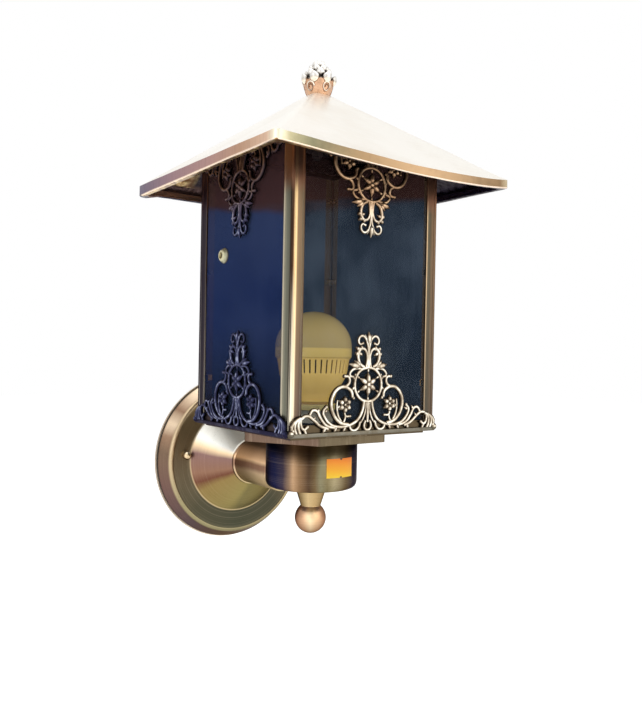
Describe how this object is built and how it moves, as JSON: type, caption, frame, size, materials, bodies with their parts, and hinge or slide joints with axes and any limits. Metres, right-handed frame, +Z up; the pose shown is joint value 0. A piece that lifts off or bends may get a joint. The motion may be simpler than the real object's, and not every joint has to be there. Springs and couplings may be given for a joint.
{
  "type": "wall lantern",
  "caption": "Square glazed wall lantern with hipped roof, openwork castings and finial, on a round drum and arm from a round wall canopy.",
  "frame": {"origin": "centre of the back face of the round wall plate, on the wall", "axes": "+Y into the wall (the lantern hangs out along -Y), +Z up, +X to the right seen from the front"},
  "size_m": [0.218, 0.247, 0.4172],
  "materials": {
    "zinc_plate": "pale plated sheet, fine brushed",
    "foam": "matt black foam",
    "steel": "zinc plated",
    "antique_copper": "dark antique copper, clear lacquered",
    "nickel_brass": "pale polished",
    "brushed_copper": "brushed antique copper, clear lacquered",
    "label_paper": "orange fading to yellow, blank",
    "smoked_glass": "flat, dark blue grey tint",
    "cast_ornament": "cast, pale silver gold rubbed over dark bronze",
    "roof_sheet": "pale champagne brushed metal, pebbled gold underneath",
    "porcelain": "white glaze",
    "black_plastic": "moulded",
    "cream_plastic": "moulded, aged cream",
    "socket_brass": "plain pressed brass",
    "bulb_glass": "cream globe over a slotted cream body",
    "brown_wire": "brown insulation",
    "blue_wire": "blue insulation"
  },
  "bodies": {
    "root": {"wall_plate": "zinc_plate", "wall_gasket": "foam", "canopy_studs": "steel", "canopy": "antique_copper", "cap_nuts": "nickel_brass", "arm_cup": "antique_copper", "arm_nipple": "steel", "arm_locknuts": "steel", "arm_sleeve": "antique_copper", "drum": "brushed_copper", "price_label": "label_paper", "bottom_finial": "antique_copper", "bottom_rod": "steel", "rod_washer": "steel", "rod_nut": "steel", "support_plate": "brushed_copper", "floor_tray": "antique_copper", "post_front_left": "brushed_copper", "post_front_right": "brushed_copper", "post_back_left": "brushed_copper", "post_back_right": "brushed_copper", "pane_front": "smoked_glass", "pane_back": "smoked_glass", "pane_left": "smoked_glass", "pane_right": "smoked_glass", "glass_clips": "nickel_brass", "glass_button": "steel", "bottom_casting_front": "cast_ornament", "bottom_casting_back": "cast_ornament", "bottom_casting_left": "cast_ornament", "bottom_casting_right": "cast_ornament", "top_casting_front": "cast_ornament", "top_casting_back": "cast_ornament", "top_casting_left": "cast_ornament", "top_casting_right": "cast_ornament", "top_frame": "antique_copper", "roof_bar": "steel", "roof_bar_screws": "steel", "roof_stud": "steel", "roof_stud_nuts": "steel", "roof": "roof_sheet", "roof_finial": "cast_ornament", "lampholder": "porcelain", "clamp_ring": "black_plastic", "shade_ring": "cream_plastic", "holder_shell": "socket_brass", "holder_contact": "socket_brass", "bulb": "bulb_glass", "terminal_block": "cream_plastic", "terminal_screws": "socket_brass", "live_wire": "brown_wire", "neutral_wire": "blue_wire"}
  },
  "joints": []
}
